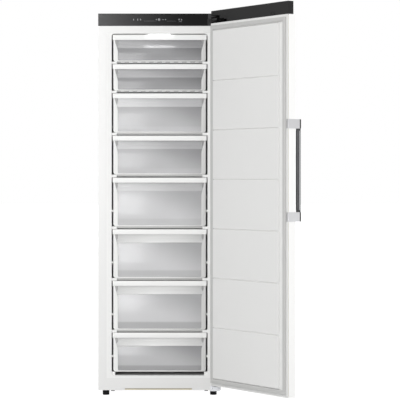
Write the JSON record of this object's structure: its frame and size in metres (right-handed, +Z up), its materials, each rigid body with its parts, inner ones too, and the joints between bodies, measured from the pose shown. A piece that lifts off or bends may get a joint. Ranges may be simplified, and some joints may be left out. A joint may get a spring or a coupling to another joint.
{
  "type": "upright freezer",
  "caption": "Tall white no-frost upright freezer with its door standing open: pull-out drawers with clear fronts, glass shelves, a control strip, a bar handle, feet and rear rollers.",
  "frame": {"origin": "middle of the footprint of the whole object with its door open as stored, on the floor", "axes": "+X to the right as the user stands in front, +Y to the back, +Z up"},
  "size_m": [0.9546, 1.1276, 1.858],
  "materials": {
    "white_paint": "smooth white enamel, semi-gloss",
    "white_plastic": "white moulded plastic, satin",
    "clear_plastic": "translucent moulded plastic, frosted",
    "shelf_glass": "clear safety glass",
    "black_gloss": "black glass-like plastic",
    "black_plastic": "black moulded plastic, fine grain",
    "gasket": "soft off-white magnetic seal",
    "zinc_steel": "zinc-plated pressed steel",
    "handle_metal": "dark anodised aluminium",
    "fin_aluminium": "plain fin stock",
    "foam": "rigid insulation foam",
    "black_enamel": "black enamel",
    "board": "circuit board with lacquer",
    "lamp_lens": "opal diffuser",
    "foot_rubber": "black moulded plastic, matt",
    "bush_plastic": "natural acetal"
  },
  "bodies": {
    "cabinet": {"cabinet_shell": "white_paint", "inner_liner": "white_plastic", "cabinet_foam": "foam", "back_panel": "white_paint", "top_cover": "white_plastic", "control_panel": "black_gloss", "hinge_cover": "black_plastic", "control_board": "board", "led_lamp": "lamp_lens", "top_hinge": "black_enamel", "bottom_hinge": "zinc_steel", "air_duct_cover": "white_plastic", "evaporator": "fin_aluminium", "fan_motor": "black_plastic", "machine_base": "zinc_steel", "compressor": "black_enamel", "drip_tray": "black_plastic", "condenser": "black_enamel", "filter_drier": "zinc_steel", "power_inlet": "black_plastic", "glass_shelf_1": "shelf_glass", "glass_shelf_2": "shelf_glass", "glass_shelf_3": "shelf_glass", "glass_shelf_4": "shelf_glass", "glass_shelf_5": "shelf_glass", "glass_shelf_6": "shelf_glass", "glass_shelf_7": "shelf_glass"},
    "door": {"door_panel": "white_paint", "door_foam": "foam", "door_liner": "white_plastic", "door_gasket": "gasket", "door_top_trim": "black_plastic", "door_bottom_cap": "white_plastic", "hinge_bush_top": "bush_plastic", "hinge_bush_bottom": "bush_plastic", "handle_bracket_top": "zinc_steel", "handle_bracket_bottom": "zinc_steel", "handle_bar": "handle_metal"},
    "drawer_1": {"drawer_1_tub": "clear_plastic", "drawer_1_frame": "white_plastic"},
    "drawer_2": {"drawer_2_tub": "clear_plastic", "drawer_2_frame": "white_plastic"},
    "drawer_3": {"drawer_3_tub": "clear_plastic", "drawer_3_frame": "white_plastic"},
    "drawer_4": {"drawer_4_tub": "clear_plastic", "drawer_4_frame": "white_plastic"},
    "drawer_5": {"drawer_5_tub": "clear_plastic", "drawer_5_frame": "white_plastic"},
    "drawer_6": {"drawer_6_tub": "clear_plastic", "drawer_6_frame": "white_plastic"},
    "drawer_7": {"drawer_7_tub": "clear_plastic", "drawer_7_frame": "white_plastic"},
    "drawer_8": {"drawer_8_tub": "clear_plastic", "drawer_8_frame": "white_plastic"},
    "front_foot_left": {"front_foot_left": "foot_rubber"},
    "front_foot_right": {"front_foot_right": "foot_rubber"},
    "rear_roller_left": {"rear_roller_left": "foot_rubber"},
    "rear_roller_right": {"rear_roller_right": "foot_rubber"},
    "evaporator_fan": {"evaporator_fan": "white_plastic"}
  },
  "joints": [
    {"name": "door_hinge", "type": "hinge", "parent": "cabinet", "child": "door", "pos_m": [0.10018, -0.07618, 0.955], "axis": [0, 0, 1], "range_deg": [-125.65, 0]},
    {"name": "drawer_1_slide", "type": "slide", "parent": "cabinet", "child": "drawer_1", "axis": [0, -1, 0], "range_m": [0, 0.3]},
    {"name": "drawer_2_slide", "type": "slide", "parent": "cabinet", "child": "drawer_2", "axis": [0, -1, 0], "range_m": [0, 0.3]},
    {"name": "drawer_3_slide", "type": "slide", "parent": "cabinet", "child": "drawer_3", "axis": [0, -1, 0], "range_m": [0, 0.3]},
    {"name": "drawer_4_slide", "type": "slide", "parent": "cabinet", "child": "drawer_4", "axis": [0, -1, 0], "range_m": [0, 0.3]},
    {"name": "drawer_5_slide", "type": "slide", "parent": "cabinet", "child": "drawer_5", "axis": [0, -1, 0], "range_m": [0, 0.3]},
    {"name": "drawer_6_slide", "type": "slide", "parent": "cabinet", "child": "drawer_6", "axis": [0, -1, 0], "range_m": [0, 0.3]},
    {"name": "drawer_7_slide", "type": "slide", "parent": "cabinet", "child": "drawer_7", "axis": [0, -1, 0], "range_m": [0, 0.3]},
    {"name": "drawer_8_slide", "type": "slide", "parent": "cabinet", "child": "drawer_8", "axis": [0, -1, 0], "range_m": [0, 0.2]},
    {"name": "front_foot_left_height", "type": "slide", "parent": "cabinet", "child": "front_foot_left", "axis": [0, 0, 1], "range_m": [-0.015, 0]},
    {"name": "front_foot_right_height", "type": "slide", "parent": "cabinet", "child": "front_foot_right", "axis": [0, 0, 1], "range_m": [-0.015, 0]},
    {"name": "rear_roller_left_spin", "type": "hinge", "parent": "cabinet", "child": "rear_roller_left", "pos_m": [-0.42982, 0.53182, 0.014], "axis": [1, 0, 0], "continuous": true},
    {"name": "rear_roller_right_spin", "type": "hinge", "parent": "cabinet", "child": "rear_roller_right", "pos_m": [0.07018, 0.53182, 0.014], "axis": [1, 0, 0], "continuous": true},
    {"name": "evaporator_fan_spin", "type": "hinge", "parent": "cabinet", "child": "evaporator_fan", "pos_m": [-0.17982, 0.44482, 0.74], "axis": [0, 1, 0], "continuous": true}
  ]
}
